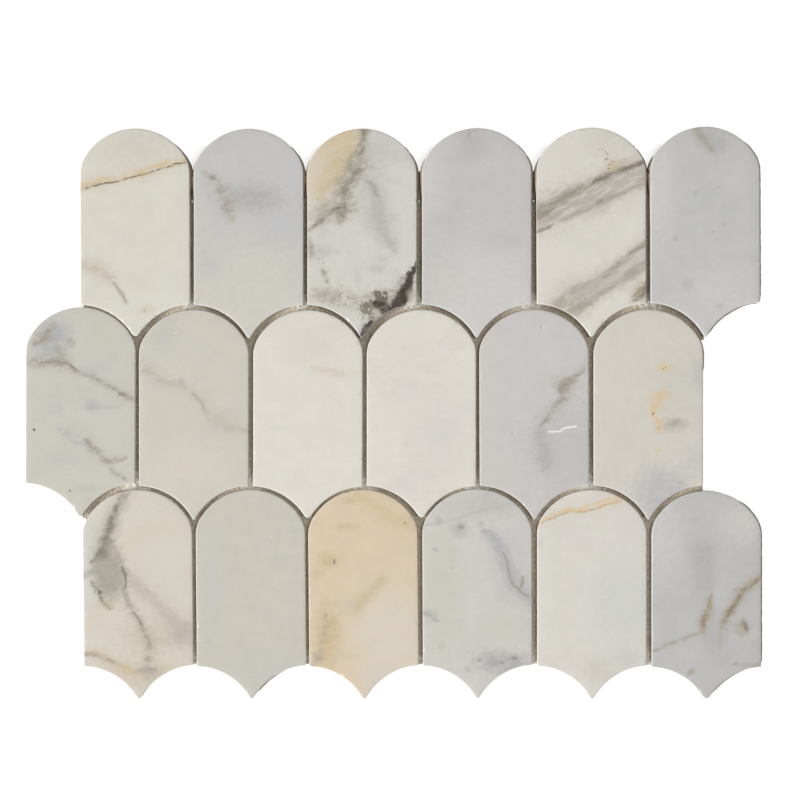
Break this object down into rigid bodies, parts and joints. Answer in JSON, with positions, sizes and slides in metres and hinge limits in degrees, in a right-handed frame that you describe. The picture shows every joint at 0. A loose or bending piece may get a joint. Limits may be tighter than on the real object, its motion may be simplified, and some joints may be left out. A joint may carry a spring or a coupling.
{
  "type": "fish scale mosaic tile sheet",
  "caption": "Flat mosaic sheet of marble fish scale chips in staggered rows on a net backing, laid on walls and floors as one tile.",
  "frame": {"origin": "centre of the sheet's bounding box in plan, on the back of the net", "axes": "+Z out of the face of the tiles, +X along the rows to the right as the picture shows them, +Y towards the round crowns of the chips"},
  "size_m": [0.323, 0.2514, 0.01],
  "materials": {
    "marble_ivory": "satin",
    "marble_blue_grey": "satin",
    "marble_pale_grey": "satin",
    "marble_dark_veined": "satin",
    "marble_tan": "satin",
    "net_in_glue": "matte"
  },
  "bodies": {
    "root": {"chip_row1_col1": "marble_ivory", "chip_row1_col2": "marble_blue_grey", "chip_row1_col3": "marble_dark_veined", "chip_row1_col4": "marble_blue_grey", "chip_row1_col5": "marble_ivory", "chip_row1_col6": "marble_blue_grey", "chip_row2_col1": "marble_pale_grey", "chip_row2_col2": "marble_pale_grey", "chip_row2_col3": "marble_ivory", "chip_row2_col4": "marble_ivory", "chip_row2_col5": "marble_blue_grey", "chip_row2_col6": "marble_pale_grey", "chip_row3_col1": "marble_tan", "chip_row3_col2": "marble_pale_grey", "chip_row3_col3": "marble_tan", "chip_row3_col4": "marble_pale_grey", "chip_row3_col5": "marble_ivory", "chip_row3_col6": "marble_blue_grey", "net_backing": "net_in_glue"}
  },
  "joints": []
}
